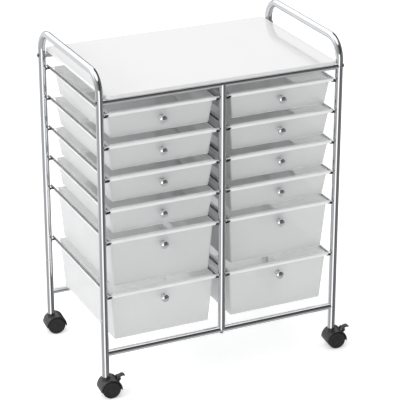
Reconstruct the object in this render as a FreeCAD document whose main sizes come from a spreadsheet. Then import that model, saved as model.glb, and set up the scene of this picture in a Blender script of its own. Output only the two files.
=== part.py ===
"""Rolling drawer cart: a chromed tube frame with two columns of plastic drawers on four casters.

The frame stands on Z = 0 with its front towards -Y. The origin lies on the floor, midway between
the four caster axes. Every length is in millimetres.
"""

import FreeCAD
import Part
import math
import os
import Sketcher

doc = FreeCAD.newDocument("rolling_drawer_cart")
sheet = doc.addObject("Spreadsheet::Sheet", "sizes")


class Dim:
    """A size that carries its number together with the sheet formula that gives it."""

    def __init__(self, value, formula):
        self.value = float(value)
        self.formula = formula

    def __add__(self, other):
        other = as_dim(other)
        return Dim(self.value + other.value, f"({self.formula} + {other.formula})")

    def __sub__(self, other):
        other = as_dim(other)
        return Dim(self.value - other.value, f"({self.formula} - {other.formula})")

    def __mul__(self, other):
        other = as_dim(other)
        return Dim(self.value * other.value, f"({self.formula} * {other.formula})")

    def __truediv__(self, other):
        other = as_dim(other)
        return Dim(self.value / other.value, f"({self.formula} / {other.formula})")

    def __neg__(self):
        return Dim(-self.value, f"(0 - {self.formula})")


def as_dim(number):
    return number if isinstance(number, Dim) else Dim(number, str(number))


def lean(run, rise):
    """The angle, in degrees, of a wall that moves by run over a height of rise."""
    return Dim(math.degrees(math.atan(run.value / rise.value)), f"atan({run.formula} / {rise.formula})")


def half_chord(radius, distance):
    """Half the chord of a circle at a distance from its centre."""
    reach = math.sqrt(radius.value ** 2 - distance.value ** 2)
    return Dim(reach, f"sqrt({radius.formula} ^ 2 - {distance.formula} ^ 2)")


def polar(radius, degrees):
    """The two coordinates of a point at a radius and a fixed angle."""
    turn = math.radians(degrees)
    return radius * round(math.cos(turn), 6), radius * round(math.sin(turn), 6)


def size(alias, number, note):
    """Write one driving size to the sheet and return it."""
    size.rows += 1
    sheet.set(f"A{size.rows}", note)
    sheet.set(f"B{size.rows}", str(number))
    sheet.setAlias(f"B{size.rows}", alias)
    return Dim(number, f"sizes.{alias}")


size.rows = 0
ZERO = Dim(0, "0")

# Tube frame
frame_width = size("frame_width", 622, "left leg axis to right leg axis")
frame_depth = size("frame_depth", 378, "front leg axis to rear leg axis")
tube_dia = size("tube_dia", 18, "legs, handles and centre posts")
tube_wall = size("tube_wall", 1.2, "wall of the legs and posts")
bar_dia = size("bar_dia", 16, "crossbars")
bar_wall = size("bar_wall", 1.2, "wall of the crossbars")
handle_height = size("handle_height", 824, "floor to the axis of a handle")
handle_bend = size("handle_bend", 50, "bend radius of a handle, at the tube's axis")
leg_foot = size("leg_foot", 54, "floor to the lower end of a leg")
leg_joint = size("leg_joint", 208, "floor to the joint in a leg")
spigot_length = size("spigot_length", 38, "necked end of a lower leg inside the upper one")
slip_gap = size("slip_gap", 0.1, "radial play of a plug in a tube")
bottom_bar_height = size("bottom_bar_height", 116, "floor to the axis of the bottom crossbars")
handle_rise = size("handle_rise", 64, "axis of a handle above the axes of the top crossbars")
plug_length = size("plug_length", 20, "solid threaded end of a crossbar or post")

# Fasteners
bolt_dia = size("bolt_dia", 5, "shank of a frame bolt")
bolt_grip = size("bolt_grip", 12, "length of a frame bolt inside the threaded end")
bolt_head_dia = size("bolt_head_dia", 10, "head of a frame bolt")
bolt_head_height = size("bolt_head_height", 3.4, "height of a frame bolt's head")
bolt_gap = size("bolt_gap", 0.15, "radial play of a bolt in its hole")

# Top board
board_side_gap = size("board_side_gap", 3, "board to leg, on each side")
board_overhang = size("board_overhang", 10, "board beyond the leg axes, front and rear")
board_thickness = size("board_thickness", 8, "thickness of the board")
board_corner = size("board_corner", 12, "corner radius of the board")
board_edge = size("board_edge", 1.2, "rounding of the board's upper edge")

# Runners
runner_dia = size("runner_dia", 6, "runner rod")
runner_side_gap = size("runner_side_gap", 1, "rod to the drawer's lips")
runner_end_gap = size("runner_end_gap", 1, "rod end inside the outer faces of the legs")
peg_dia = size("peg_dia", 5, "cross peg between a rod and its leg")
weld_depth = size("weld_depth", 0.5, "sinking of the rod into its peg")
rest_gap = size("rest_gap", 0.3, "flange to the crown of the rod")

# Drawers
rim_side_gap = size("rim_side_gap", 1, "rim to leg and to centre post")
rim_front = size("rim_front", 9, "front of the rim ahead of the leg axes")
rim_rear = size("rim_rear", 21, "rear of the rim ahead of the rear leg axes")
rim_corner = size("rim_corner", 6, "corner radius of the rim")
flange_width = size("flange_width", 11, "rim beyond the tub's wall, front and sides")
rear_flange = size("rear_flange", 2, "rim beyond the tub's rear wall")
flange_thickness = size("flange_thickness", 2.2, "thickness of the flange")
lip_height = size("lip_height", 7.5, "turned-down lip, from the top of the rim")
lip_thickness = size("lip_thickness", 1.8, "thickness of the lip")
tub_corner = size("tub_corner", 8, "corner radius of the tub at the rim")
floor_corner = size("floor_corner", 7, "corner radius of the tub at its floor")
floor_round = size("floor_round", 3, "rounding of the floor's outer edge")
tub_wall = size("tub_wall", 2, "wall of the tub")
tub_floor = size("tub_floor", 2.4, "floor of the tub")
side_taper = size("side_taper", 9.5, "inward lean of each side wall, rim to floor")
end_taper = size("end_taper", 9.5, "inward lean of the front and rear walls, rim to floor")
rim_drop = size("rim_drop", 26.6, "axes of the top crossbars to the rim of the top row")
row_gap = size("row_gap", 11.1, "floor of a drawer to the rim below it")
floor_space = size("floor_space", 14, "room between the lowest row and the axes of the bottom crossbars")
deep_ratio = size("deep_ratio", 1.7665, "room of a deep row, in shallow rows")

# Knobs
knob_drop = size("knob_drop", 33.4, "rim to the axis of a knob")
knob_dia = size("knob_dia", 20, "head of a knob")
knob_length = size("knob_length", 19, "knob, wall to crown")
knob_crown = size("knob_crown", 3, "height of the domed crown")
knob_edge = size("knob_edge", 4, "straight edge of the knob's head")
knob_neck_dia = size("knob_neck_dia", 9, "neck of a knob")
knob_foot_dia = size("knob_foot_dia", 13, "foot of a knob")
knob_foot = size("knob_foot", 2, "thickness of the knob's foot")
knob_screw_dia = size("knob_screw_dia", 4, "screw that holds a knob")
knob_screw_grip = size("knob_screw_grip", 9, "screw inside the knob")
knob_screw_head_dia = size("knob_screw_head_dia", 8, "head of the knob's screw")
knob_screw_head = size("knob_screw_head", 2.2, "height of the knob screw's head")

# Casters
wheel_dia = size("wheel_dia", 46, "caster wheel")
wheel_width = size("wheel_width", 17.4, "width of one wheel")
wheel_gap = size("wheel_gap", 0.6, "wheel to the web of the hood")
wheel_dish = size("wheel_dish", 1, "depth of the dish in a wheel's outer face")
wheel_cap = size("wheel_cap", 3.5, "outer wall of a wheel over the end of its axle")
wheel_tread_round = size("wheel_tread_round", 4, "rounding of a wheel's tread")
wheel_bore_gap = size("wheel_bore_gap", 0.2, "radial play of a wheel on its axle")
axle_dia = size("axle_dia", 6, "axle of a caster")
web_width = size("web_width", 7, "web of the hood between the wheels")
hood_gap = size("hood_gap", 1.3, "tread to hood")
hood_wall = size("hood_wall", 2.6, "wall of the hood")
hood_drop = size("hood_drop", 2.3, "lower edges of the hood below the axle")
hood_boss_dia = size("hood_boss_dia", 20, "boss round the stem")
hub_dia = size("hub_dia", 18, "hub of the web round the axle")
trail = size("trail", 9.9, "swivel axis to axle")
caster_turn = size("caster_turn", -5, "direction of the casters, in degrees from +X")
stem_dia = size("stem_dia", 10, "caster stem")
stem_tail_dia = size("stem_tail_dia", 4, "tail of the stem in the web")
stem_tail = size("stem_tail", 10, "length of the stem's tail")
stem_reach = size("stem_reach", 28, "stem inside the leg")
stem_gap = size("stem_gap", 0.2, "radial play of the stem in its socket")
socket_flange = size("socket_flange", 2, "collar of the socket below the leg")
swivel_gap = size("swivel_gap", 0.5, "hood to the collar of the socket")

# Brake levers
lever_stand = size("lever_stand", 5, "lever pivot outside the hood")
lever_hub_dia = size("lever_hub_dia", 8, "hub of a lever")
lever_width = size("lever_width", 14, "width of a lever")
lever_length = size("lever_length", 15.8, "lever, pivot to tip")
lever_sweep = size("lever_sweep", 10.1, "bend radius of a lever's arm")
lever_thickness = size("lever_thickness", 3.2, "thickness of a lever")
lever_pin_dia = size("lever_pin_dia", 3, "pivot pin of a lever")
lever_pin_gap = size("lever_pin_gap", 0.3, "radial play of a lever on its pin")
ear_width = size("ear_width", 2.4, "one ear beside a lever")
ear_gap = size("ear_gap", 0.4, "lever to ear")

LEVER_ANGLE = 46
LEVER_RISE = 17

# Places that several pieces share
leg_x = frame_width / 2
leg_y = frame_depth / 2
tube_radius = tube_dia / 2
bar_radius = bar_dia / 2
column_x = frame_width / 4
top_bar_height = handle_height - handle_rise
top_rim_height = top_bar_height - rim_drop
shallow_pitch = (top_rim_height - bottom_bar_height - floor_space) / (deep_ratio * 2 + 4)
deep_pitch = shallow_pitch * deep_ratio
shallow_height = shallow_pitch - row_gap
deep_height = deep_pitch - row_gap
rim_width = frame_width / 2 - tube_dia - rim_side_gap * 2
rim_depth = frame_depth + rim_front - rim_rear
rim_front_y = leg_y + rim_front
runner_inset = tube_radius + rim_side_gap + lip_thickness + runner_side_gap + runner_dia / 2
runner_half = leg_y + tube_radius - runner_end_gap
runner_drop = flange_thickness + rest_gap + runner_dia / 2
peg_drop = runner_dia / 2 + peg_dia / 2 - weld_depth
channel_width = lip_thickness + runner_side_gap * 2 + runner_dia
tub_width = rim_width - flange_width * 2
tub_depth = rim_depth - flange_width - rear_flange
tub_shift = (flange_width - rear_flange) / 2
wheel_radius = wheel_dia / 2
hood_inner = wheel_radius + hood_gap
hood_outer = hood_inner + hood_wall
hood_top = leg_foot - socket_flange - swivel_gap
caster_width = web_width + (wheel_gap + wheel_width) * 2

ROWS = [
    ("1", shallow_height, top_rim_height),
    ("2", shallow_height, top_rim_height - shallow_pitch),
    ("3", shallow_height, top_rim_height - shallow_pitch * 2),
    ("4", shallow_height, top_rim_height - shallow_pitch * 3),
    ("5", deep_height, top_rim_height - shallow_pitch * 4),
    ("6", deep_height, top_rim_height - shallow_pitch * 4 - deep_pitch),
]
COLUMNS = [("left", -column_x), ("right", column_x)]
CORNERS = [
    ("front_left", -leg_x, -leg_y),
    ("front_right", leg_x, -leg_y),
    ("rear_left", -leg_x, leg_y),
    ("rear_right", leg_x, leg_y),
]

nodes = []


def bind(item, prop, dim):
    item.setExpression(prop, dim.formula)


def place(item, x=ZERO, y=ZERO, z=ZERO, axis=None, degrees=None):
    """Give a piece its Placement, with an optional turn about one axis."""
    if axis is not None:
        turn = as_dim(degrees)
        item.Placement = FreeCAD.Placement(FreeCAD.Vector(), FreeCAD.Rotation(axis, turn.value))
        bind(item, "Placement.Rotation.Angle", turn)
    bind(item, "Placement.Base.x", x)
    bind(item, "Placement.Base.y", y)
    bind(item, "Placement.Base.z", z)
    return item


def node(item, label):
    item.Label = label
    nodes.append(item)
    return item


def group(label, pieces):
    """One node that holds several equal pieces of the same body."""
    compound = doc.addObject("Part::Compound", label)
    compound.Links = pieces
    return node(compound, label)


def new_body(name):
    return doc.addObject("PartDesign::Body", name)


def new_sketch(body, name, role, along_x=ZERO, along_y=ZERO, along_normal=ZERO, tilt=None):
    """A sketch on one of the body's origin planes, moved within that plane's own axes."""
    sketch = body.newObject("Sketcher::SketchObject", name)
    plane = [feature for feature in body.Origin.OriginFeatures if feature.Role == role][0]
    sketch.AttachmentSupport = [(plane, "")]
    sketch.MapMode = "FlatFace"
    if tilt is not None:
        turn = FreeCAD.Rotation(FreeCAD.Vector(1, 0, 0), tilt.value)
        sketch.AttachmentOffset = FreeCAD.Placement(FreeCAD.Vector(), turn)
        bind(sketch, "AttachmentOffset.Rotation.Angle", tilt)
    bind(sketch, "AttachmentOffset.Base.x", along_x)
    bind(sketch, "AttachmentOffset.Base.y", along_y)
    bind(sketch, "AttachmentOffset.Base.z", along_normal)
    return sketch


def drive(sketch, dim, kind, *references):
    index = sketch.addConstraint(Sketcher.Constraint(kind, *references, dim.value))
    sketch.setExpression(f"Constraints[{index}]", dim.formula)


def lock_point(sketch, geometry, end, x, y):
    """Hold one point of the sketch at two sizes from its origin."""
    for dim, kind, axis in ((x, "DistanceX", -2), (y, "DistanceY", -1)):
        if dim is ZERO:
            sketch.addConstraint(Sketcher.Constraint("PointOnObject", geometry, end, axis))
        elif dim.value < 0:
            drive(sketch, -dim, kind, geometry, end, -1, 1)
        else:
            drive(sketch, dim, kind, -1, 1, geometry, end)


def circle(sketch, x, y, diameter):
    centre = FreeCAD.Vector(x.value, y.value, 0)
    round_edge = Part.Circle(centre, FreeCAD.Vector(0, 0, 1), diameter.value / 2)
    geometry = sketch.addGeometry(round_edge, False)
    lock_point(sketch, geometry, 3, x, y)
    drive(sketch, diameter, "Diameter", geometry)


def outline(sketch, corners):
    """Close a wire through the corners.

    A corner is (x, y), or (x, y, radius, turn) where an arc leads to the next corner: turn is 1 for
    an arc that bends to the left and -1 for one that bends to the right.
    """
    first = sketch.GeometryCount
    count = len(corners)
    points = [FreeCAD.Vector(corner[0].value, corner[1].value, 0) for corner in corners]
    ends = []
    for index, corner in enumerate(corners):
        start = points[index]
        stop = points[(index + 1) % count]
        if len(corner) == 2:
            sketch.addGeometry(Part.LineSegment(start, stop), False)
            ends.append((1, 2))
            continue
        radius = corner[2].value
        turn = corner[3]
        chord = stop - start
        rise = math.sqrt(radius ** 2 - (chord.Length / 2) ** 2)
        left = FreeCAD.Vector(-chord.y, chord.x, 0) / chord.Length
        centre = (start + stop) / 2 + left * (turn * rise)
        whole = Part.Circle(centre, FreeCAD.Vector(0, 0, 1), radius)
        low, high = (start, stop) if turn > 0 else (stop, start)
        sketch.addGeometry(Part.ArcOfCircle(whole, whole.parameter(low), whole.parameter(high)), False)
        ends.append((1, 2) if turn > 0 else (2, 1))
    for index in range(count):
        after = (index + 1) % count
        joint = (first + index, ends[index][1], first + after, ends[after][0])
        sketch.addConstraint(Sketcher.Constraint("Coincident", *joint))
    for index, corner in enumerate(corners):
        lock_point(sketch, first + index, ends[index][0], corner[0], corner[1])
        if len(corner) == 4:
            drive(sketch, corner[2], "Radius", first + index)


def rectangle(sketch, width, depth, radius):
    """A rectangle with round corners, centred on the sketch's origin."""
    x = width / 2
    y = depth / 2
    quarter = radius
    outline(sketch, [
        (-x + quarter, -y),
        (x - quarter, -y, radius, 1),
        (x, -y + quarter),
        (x, y - quarter, radius, 1),
        (x - quarter, y),
        (-x + quarter, y, radius, 1),
        (-x, y - quarter),
        (-x, -y + quarter, radius, 1),
    ])


def block(sketch, x0, y0, x1, y1):
    """A rectangle with square corners, between two opposite corners."""
    outline(sketch, [(x0, y0), (x1, y0), (x1, y1), (x0, y1)])


def extrude(body, kind, sketch, length, side="One side", reverse=False):
    """Pad or pocket a sketch."""
    feature = body.newObject(f"PartDesign::{kind}", f"{sketch.Name}_{kind.lower()}")
    feature.Profile = sketch
    feature.SideType = side
    feature.Reversed = reverse
    bind(feature, "Length", length)
    return feature


def revolve(body, sketch, axis):
    feature = body.newObject("PartDesign::Revolution", f"{sketch.Name}_turned")
    feature.Profile = sketch
    feature.ReferenceAxis = (sketch, [axis])
    feature.Angle = 360
    return feature


def loft(body, kind, lower, upper):
    feature = body.newObject(f"PartDesign::{kind}", f"{lower.Name}_loft")
    feature.Profile = lower
    feature.Sections = [upper]
    feature.Ruled = True
    return feature


def round_edges(body, base, radius, chosen):
    """Fillet the edges of the last feature that the chooser picks."""
    doc.recompute()
    names = [f"Edge{index}" for index, edge in enumerate(base.Shape.Edges, start=1) if chosen(edge)]
    feature = body.newObject("PartDesign::Fillet", f"{base.Name}_round")
    feature.Base = (base, names)
    bind(feature, "Radius", radius)
    return feature


def at_height(level):
    """Chooses the edges that lie wholly at one height of the body."""
    return lambda edge: abs(edge.BoundBox.ZMin - level) < 0.01 and abs(edge.BoundBox.ZMax - level) < 0.01


def make_hoop(name, x):
    """One side of the frame: a tube bent into front leg, handle and rear leg."""
    body = new_body(name)
    path = new_sketch(body, f"{name}_path", "YZ_Plane")
    straight = leg_y - handle_bend
    shoulder = handle_height - handle_bend
    stops = [
        (-leg_y, leg_joint),
        (-leg_y, shoulder),
        (-straight, handle_height),
        (straight, handle_height),
        (leg_y, shoulder),
        (leg_y, leg_joint),
    ]
    points = [FreeCAD.Vector(y.value, z.value, 0) for y, z in stops]
    up = FreeCAD.Vector(0, 0, 1)
    front_bend = Part.Circle(FreeCAD.Vector(-straight.value, shoulder.value, 0), up, handle_bend.value)
    rear_bend = Part.Circle(FreeCAD.Vector(straight.value, shoulder.value, 0), up, handle_bend.value)
    path.addGeometry(Part.LineSegment(points[0], points[1]), False)
    path.addGeometry(Part.ArcOfCircle(front_bend, math.pi / 2, math.pi), False)
    path.addGeometry(Part.LineSegment(points[2], points[3]), False)
    path.addGeometry(Part.ArcOfCircle(rear_bend, 0, math.pi / 2), False)
    path.addGeometry(Part.LineSegment(points[4], points[5]), False)
    joints = [(0, 2, 1, 2), (1, 1, 2, 1), (2, 2, 3, 2), (3, 1, 4, 1)]
    for joint in joints:
        path.addConstraint(Sketcher.Constraint("Coincident", *joint))
    holds = [(0, 1), (0, 2), (2, 1), (2, 2), (4, 1), (4, 2)]
    for (geometry, end), (y, z) in zip(holds, stops):
        lock_point(path, geometry, end, y, z)
    drive(path, handle_bend, "Radius", 1)
    drive(path, handle_bend, "Radius", 3)

    ring = new_sketch(body, f"{name}_section", "XY_Plane", along_normal=leg_joint)
    circle(ring, ZERO, -leg_y, tube_dia)
    circle(ring, ZERO, -leg_y, tube_dia - tube_wall * 2)
    pipe = body.newObject("PartDesign::AdditivePipe", f"{name}_pipe")
    pipe.Profile = ring
    pipe.Spine = (path, [f"Edge{index}" for index in range(1, 6)])

    holes = new_sketch(body, f"{name}_holes", "YZ_Plane")
    for y in (-leg_y, leg_y):
        circle(holes, y, top_bar_height, bolt_dia + bolt_gap * 2)
    extrude(body, "Pocket", holes, tube_dia * 2, "Symmetric")
    node(place(body, x), name)


def make_lower_leg(name, x, y):
    """A short tube with a necked upper end that slips into the leg above it."""
    body = new_body(name)
    section = new_sketch(body, f"{name}_section", "XZ_Plane")
    bore = tube_radius - tube_wall
    neck = bore - slip_gap
    neck_bore = neck - tube_wall
    outline(section, [
        (bore, leg_foot),
        (tube_radius, leg_foot),
        (tube_radius, leg_joint),
        (neck, leg_joint),
        (neck, leg_joint + spigot_length),
        (neck_bore, leg_joint + spigot_length),
        (neck_bore, leg_joint - spigot_length / 2),
        (bore, leg_joint - spigot_length / 2 - tube_wall),
    ])
    revolve(body, section, "V_Axis")
    return place(body, x, y)


def make_crossbar(name, y, z, welded):
    """A tube between two legs, shaped to them.

    A welded one is open at both ends and carries the screw of a centre post; the others end in
    threaded plugs.
    """
    body = new_body(name)
    section = new_sketch(body, f"{name}_section", "YZ_Plane")
    circle(section, ZERO, ZERO, bar_dia)
    extrude(body, "Pad", section, frame_width, "Symmetric")
    seats = new_sketch(body, f"{name}_seats", "XY_Plane")
    for x in (-leg_x, leg_x):
        circle(seats, x, ZERO, tube_dia)
    extrude(body, "Pocket", seats, bar_dia * 2, "Symmetric")
    bore = new_sketch(body, f"{name}_bore", "YZ_Plane")
    circle(bore, ZERO, ZERO, bar_dia - bar_wall * 2)
    if welded:
        extrude(body, "Pocket", bore, frame_width, "Symmetric")
        screw_way = new_sketch(body, f"{name}_screw_way", "XY_Plane")
        circle(screw_way, ZERO, ZERO, bolt_dia + bolt_gap * 2)
        extrude(body, "Pocket", screw_way, bar_dia * 2, "Symmetric")
    else:
        extrude(body, "Pocket", bore, frame_width - (tube_radius + plug_length) * 2, "Symmetric")
        threads = new_sketch(body, f"{name}_threads", "YZ_Plane")
        circle(threads, ZERO, ZERO, bolt_dia + bolt_gap * 2)
        extrude(body, "Pocket", threads, frame_width, "Symmetric")
    node(place(body, ZERO, y, z), name)


def make_post(name, y):
    """A centre post between a bottom and a top crossbar, shaped to both."""
    body = new_body(name)
    height = top_bar_height - bottom_bar_height
    section = new_sketch(body, f"{name}_section", "XY_Plane")
    circle(section, ZERO, ZERO, tube_dia)
    extrude(body, "Pad", section, height)
    bore = new_sketch(body, f"{name}_bore", "XY_Plane", along_normal=height)
    circle(bore, ZERO, ZERO, tube_dia - tube_wall * 2)
    extrude(body, "Pocket", bore, height - bar_radius - plug_length)
    thread = new_sketch(body, f"{name}_thread", "XY_Plane")
    circle(thread, ZERO, ZERO, bolt_dia + bolt_gap * 2)
    extrude(body, "Pocket", thread, (bar_radius + plug_length) * 2, "Symmetric")
    seats = new_sketch(body, f"{name}_seats", "YZ_Plane")
    circle(seats, ZERO, ZERO, bar_dia)
    circle(seats, ZERO, height, bar_dia)
    extrude(body, "Pocket", seats, tube_dia * 2, "Symmetric")
    node(place(body, ZERO, y, bottom_bar_height), name)


def make_bolt(name, length, x, y, z, axis, degrees):
    """A pan-head bolt along its own +Z, with the underside of the head at its origin."""
    body = new_body(name)
    section = new_sketch(body, f"{name}_section", "XZ_Plane")
    shank = bolt_dia / 2
    head = bolt_head_dia / 2
    outline(section, [
        (ZERO, -bolt_head_height),
        (head / 2, -bolt_head_height),
        (head, -bolt_head_height / 2),
        (head, ZERO),
        (shank, ZERO),
        (shank, length),
        (ZERO, length),
    ])
    revolve(body, section, "V_Axis")
    return place(body, x, y, z, axis, degrees)


def make_board():
    """The flat top, lying on the two top crossbars between the legs."""
    body = new_body("top_board")
    plan = new_sketch(body, "board_plan", "XY_Plane")
    width = frame_width - tube_dia - board_side_gap * 2
    rectangle(plan, width, frame_depth + board_overhang * 2, board_corner)
    slab = extrude(body, "Pad", plan, board_thickness)
    round_edges(body, slab, board_edge, at_height(board_thickness.value))
    node(place(body, z=top_bar_height + bar_radius), "top_board")


def make_runner(name, x, rim, degrees):
    """A rod from front to rear, carried by a peg at each leg; the legs lie towards -X."""
    body = new_body(name)
    rod = new_sketch(body, f"{name}_rod", "XZ_Plane")
    circle(rod, ZERO, ZERO, runner_dia)
    extrude(body, "Pad", rod, runner_half * 2, "Symmetric")
    pegs = new_sketch(body, f"{name}_pegs", "YZ_Plane", along_normal=runner_dia / 2)
    for y in (-leg_y, leg_y):
        circle(pegs, y, -peg_drop, peg_dia)
    extrude(body, "Pad", pegs, runner_inset + runner_dia / 2, reverse=True)
    seats = new_sketch(body, f"{name}_seats", "XY_Plane")
    for y in (-leg_y, leg_y):
        circle(seats, -runner_inset, y, tube_dia)
    extrude(body, "Pocket", seats, tube_dia * 2, "Symmetric")
    return place(body, x, ZERO, rim - runner_drop, FreeCAD.Vector(0, 0, 1), degrees)


def make_drawer(name, x, rim, height):
    """A tapered tub below a flange with lips that turn down at the front and along both sides.

    The side lips and the tub leave a channel for a rod, open at both ends. The body's origin is
    the middle of the rim's top face.
    """
    body = new_body(name)
    plan = new_sketch(body, f"{name}_rim", "XY_Plane")
    rectangle(plan, rim_width, rim_depth, rim_corner)
    extrude(body, "Pad", plan, flange_thickness, reverse=True)

    lips = new_sketch(body, f"{name}_lips", "XY_Plane")
    half_width = rim_width / 2
    half_depth = rim_depth / 2
    side_end = half_depth - rim_corner
    front_half = half_width - channel_width
    block(lips, -front_half, -half_depth, front_half, -half_depth + lip_thickness)
    block(lips, -half_width, -side_end, -half_width + lip_thickness, side_end)
    block(lips, half_width - lip_thickness, -side_end, half_width, side_end)
    extrude(body, "Pad", lips, lip_height, reverse=True)

    floor_plan = new_sketch(body, f"{name}_floor", "XY_Plane", along_y=tub_shift, along_normal=-height)
    rectangle(floor_plan, tub_width - side_taper * 2, tub_depth - end_taper * 2, floor_corner)
    mouth = new_sketch(body, f"{name}_mouth", "XY_Plane", along_y=tub_shift)
    rectangle(mouth, tub_width, tub_depth, tub_corner)
    tub = loft(body, "AdditiveLoft", floor_plan, mouth)
    round_edges(body, tub, floor_round, at_height(-height.value))

    inner_height = height - tub_floor
    share = inner_height / height
    inner_floor = new_sketch(
        body, f"{name}_inner_floor", "XY_Plane", along_y=tub_shift, along_normal=-inner_height
    )
    rectangle(
        inner_floor,
        tub_width - tub_wall * 2 - side_taper * share * 2,
        tub_depth - tub_wall * 2 - end_taper * share * 2,
        floor_corner - tub_wall,
    )
    inner_mouth = new_sketch(body, f"{name}_inner_mouth", "XY_Plane", along_y=tub_shift)
    rectangle(inner_mouth, tub_width - tub_wall * 2, tub_depth - tub_wall * 2, tub_corner - tub_wall)
    loft(body, "SubtractiveLoft", inner_floor, inner_mouth)

    seat_y = half_depth - flange_width - end_taper * knob_drop / height
    lean_angle = lean(end_taper, height)
    hole = new_sketch(
        body, f"{name}_knob_hole", "XZ_Plane", along_y=-knob_drop, along_normal=seat_y, tilt=lean_angle
    )
    circle(hole, ZERO, ZERO, knob_screw_dia + bolt_gap * 2)
    extrude(body, "Pocket", hole, tub_wall * 4, "Symmetric")

    centre_y = -rim_front_y + rim_depth / 2
    node(place(body, x, centre_y, rim), name)
    make_knob(f"knob_{name[7:]}", x, centre_y - seat_y, rim - knob_drop, lean_angle)


def make_knob(name, x, y, z, lean_angle):
    """A turned knob square to the leaning front wall, and the screw that holds it from inside."""
    across = FreeCAD.Vector(1, 0, 0)
    screw_radius = knob_screw_dia / 2
    bore = screw_radius + bolt_gap
    body = new_body(f"{name}_turning")
    section = new_sketch(body, f"{name}_section", "YZ_Plane")
    head_start = -knob_length + knob_crown + knob_edge
    head = knob_dia / 2
    crown = (head * head + knob_crown * knob_crown) / (knob_crown * 2)
    bore_end = -knob_screw_grip - bolt_gap
    outline(section, [
        (ZERO, bore),
        (ZERO, knob_foot_dia / 2),
        (-knob_foot, knob_foot_dia / 2),
        (-knob_foot * 2, knob_neck_dia / 2),
        (head_start + knob_foot, knob_neck_dia / 2),
        (head_start, head),
        (-knob_length + knob_crown, head, crown, 1),
        (-knob_length, ZERO),
        (bore_end, ZERO),
        (bore_end, bore),
    ])
    revolve(body, section, "H_Axis")
    place(body, x, y, z, across, lean_angle)

    screw = new_body(f"{name}_screw")
    section = new_sketch(screw, f"{name}_screw_section", "YZ_Plane")
    head_radius = knob_screw_head_dia / 2
    outline(section, [
        (-knob_screw_grip, ZERO),
        (-knob_screw_grip, screw_radius),
        (tub_wall, screw_radius),
        (tub_wall, head_radius),
        (tub_wall + knob_screw_head / 2, head_radius),
        (tub_wall + knob_screw_head, head_radius / 2),
        (tub_wall + knob_screw_head, ZERO),
    ])
    revolve(screw, section, "H_Axis")
    place(screw, x, y, z, across, lean_angle)
    group(name, [body, screw])


def make_socket(name, x, y):
    """The insert in a leg's lower end that takes a caster's stem."""
    body = new_body(name)
    section = new_sketch(body, f"{name}_section", "XZ_Plane")
    bore = stem_dia / 2 + stem_gap
    plug = tube_radius - tube_wall - slip_gap
    outline(section, [
        (bore, leg_foot - socket_flange),
        (tube_radius, leg_foot - socket_flange),
        (tube_radius, leg_foot),
        (plug, leg_foot),
        (plug, leg_foot + stem_reach),
        (bore, leg_foot + stem_reach),
    ])
    revolve(body, section, "V_Axis")
    return place(body, x, y)


def on_caster(body, x, y):
    """Turn a caster's piece about its swivel axis and stand it under its leg."""
    return place(body, x, y, ZERO, FreeCAD.Vector(0, 0, 1), caster_turn)


def lever_pivot():
    """The pivot of a brake lever, on the trailing side of the hood."""
    out, up = polar(hood_outer + lever_stand, LEVER_ANGLE)
    return trail + out, wheel_radius + up


def make_hood(corner, x, y, braked):
    """The moulded hood: half a barrel over both wheels, on a web between them."""
    name = f"caster_hood_{corner}"
    body = new_body(name)
    hem = wheel_radius - hood_drop
    outer_half = half_chord(hood_outer, hood_drop)
    fender = new_sketch(body, f"{name}_fender", "XZ_Plane")
    outline(fender, [
        (trail + outer_half, hem, hood_outer, 1),
        (trail, wheel_radius + hood_outer, hood_outer, 1),
        (trail - outer_half, hem),
    ])
    extrude(body, "Pad", fender, caster_width, "Symmetric")
    boss = new_sketch(body, f"{name}_boss", "XY_Plane", along_normal=hood_top)
    circle(boss, ZERO, ZERO, hood_boss_dia)
    extrude(body, "Pad", boss, hood_top - wheel_radius, reverse=True)
    if braked:
        pivot_x, pivot_z = lever_pivot()
        root_x, root_z = polar(hood_inner + hood_wall / 2, LEVER_ANGLE)
        side_x, side_z = polar(lever_hub_dia / 2, LEVER_ANGLE + 90)
        ears = new_sketch(body, f"{name}_ears", "XZ_Plane")
        outline(ears, [
            (trail + root_x - side_x, wheel_radius + root_z - side_z),
            (pivot_x - side_x, pivot_z - side_z, lever_hub_dia / 2 + weld_depth, 1),
            (pivot_x + side_x, pivot_z + side_z),
            (trail + root_x + side_x, wheel_radius + root_z + side_z),
        ])
        extrude(body, "Pad", ears, lever_width + (ear_gap + ear_width) * 2, "Symmetric")
        fork = new_sketch(body, f"{name}_fork", "XZ_Plane")
        circle(fork, pivot_x, pivot_z, (lever_stand - ear_gap) * 2)
        extrude(body, "Pocket", fork, lever_width + ear_gap * 2, "Symmetric")
        pin = new_sketch(body, f"{name}_pin", "XZ_Plane")
        circle(pin, pivot_x, pivot_z, lever_pin_dia)
        extrude(body, "Pad", pin, lever_width + (ear_gap + ear_width) * 2, "Symmetric")
    for side, sign in (("near", 1), ("far", -1)):
        well = new_sketch(body, f"{name}_{side}_well", "XZ_Plane", along_normal=web_width / 2 * sign)
        circle(well, trail, wheel_radius, hood_inner * 2)
        extrude(body, "Pocket", well, caster_width, reverse=sign > 0)
    hub = new_sketch(body, f"{name}_hub", "XZ_Plane")
    circle(hub, trail, wheel_radius, hub_dia)
    extrude(body, "Pad", hub, web_width, "Symmetric")
    axle_hole = new_sketch(body, f"{name}_axle_hole", "XZ_Plane")
    circle(axle_hole, trail, wheel_radius, axle_dia)
    extrude(body, "Pocket", axle_hole, caster_width, "Symmetric")
    stem_hole = new_sketch(body, f"{name}_stem_hole", "XY_Plane", along_normal=hood_top)
    circle(stem_hole, ZERO, ZERO, stem_tail_dia)
    extrude(body, "Pocket", stem_hole, stem_tail)
    node(on_caster(body, x, y), name)


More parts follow.
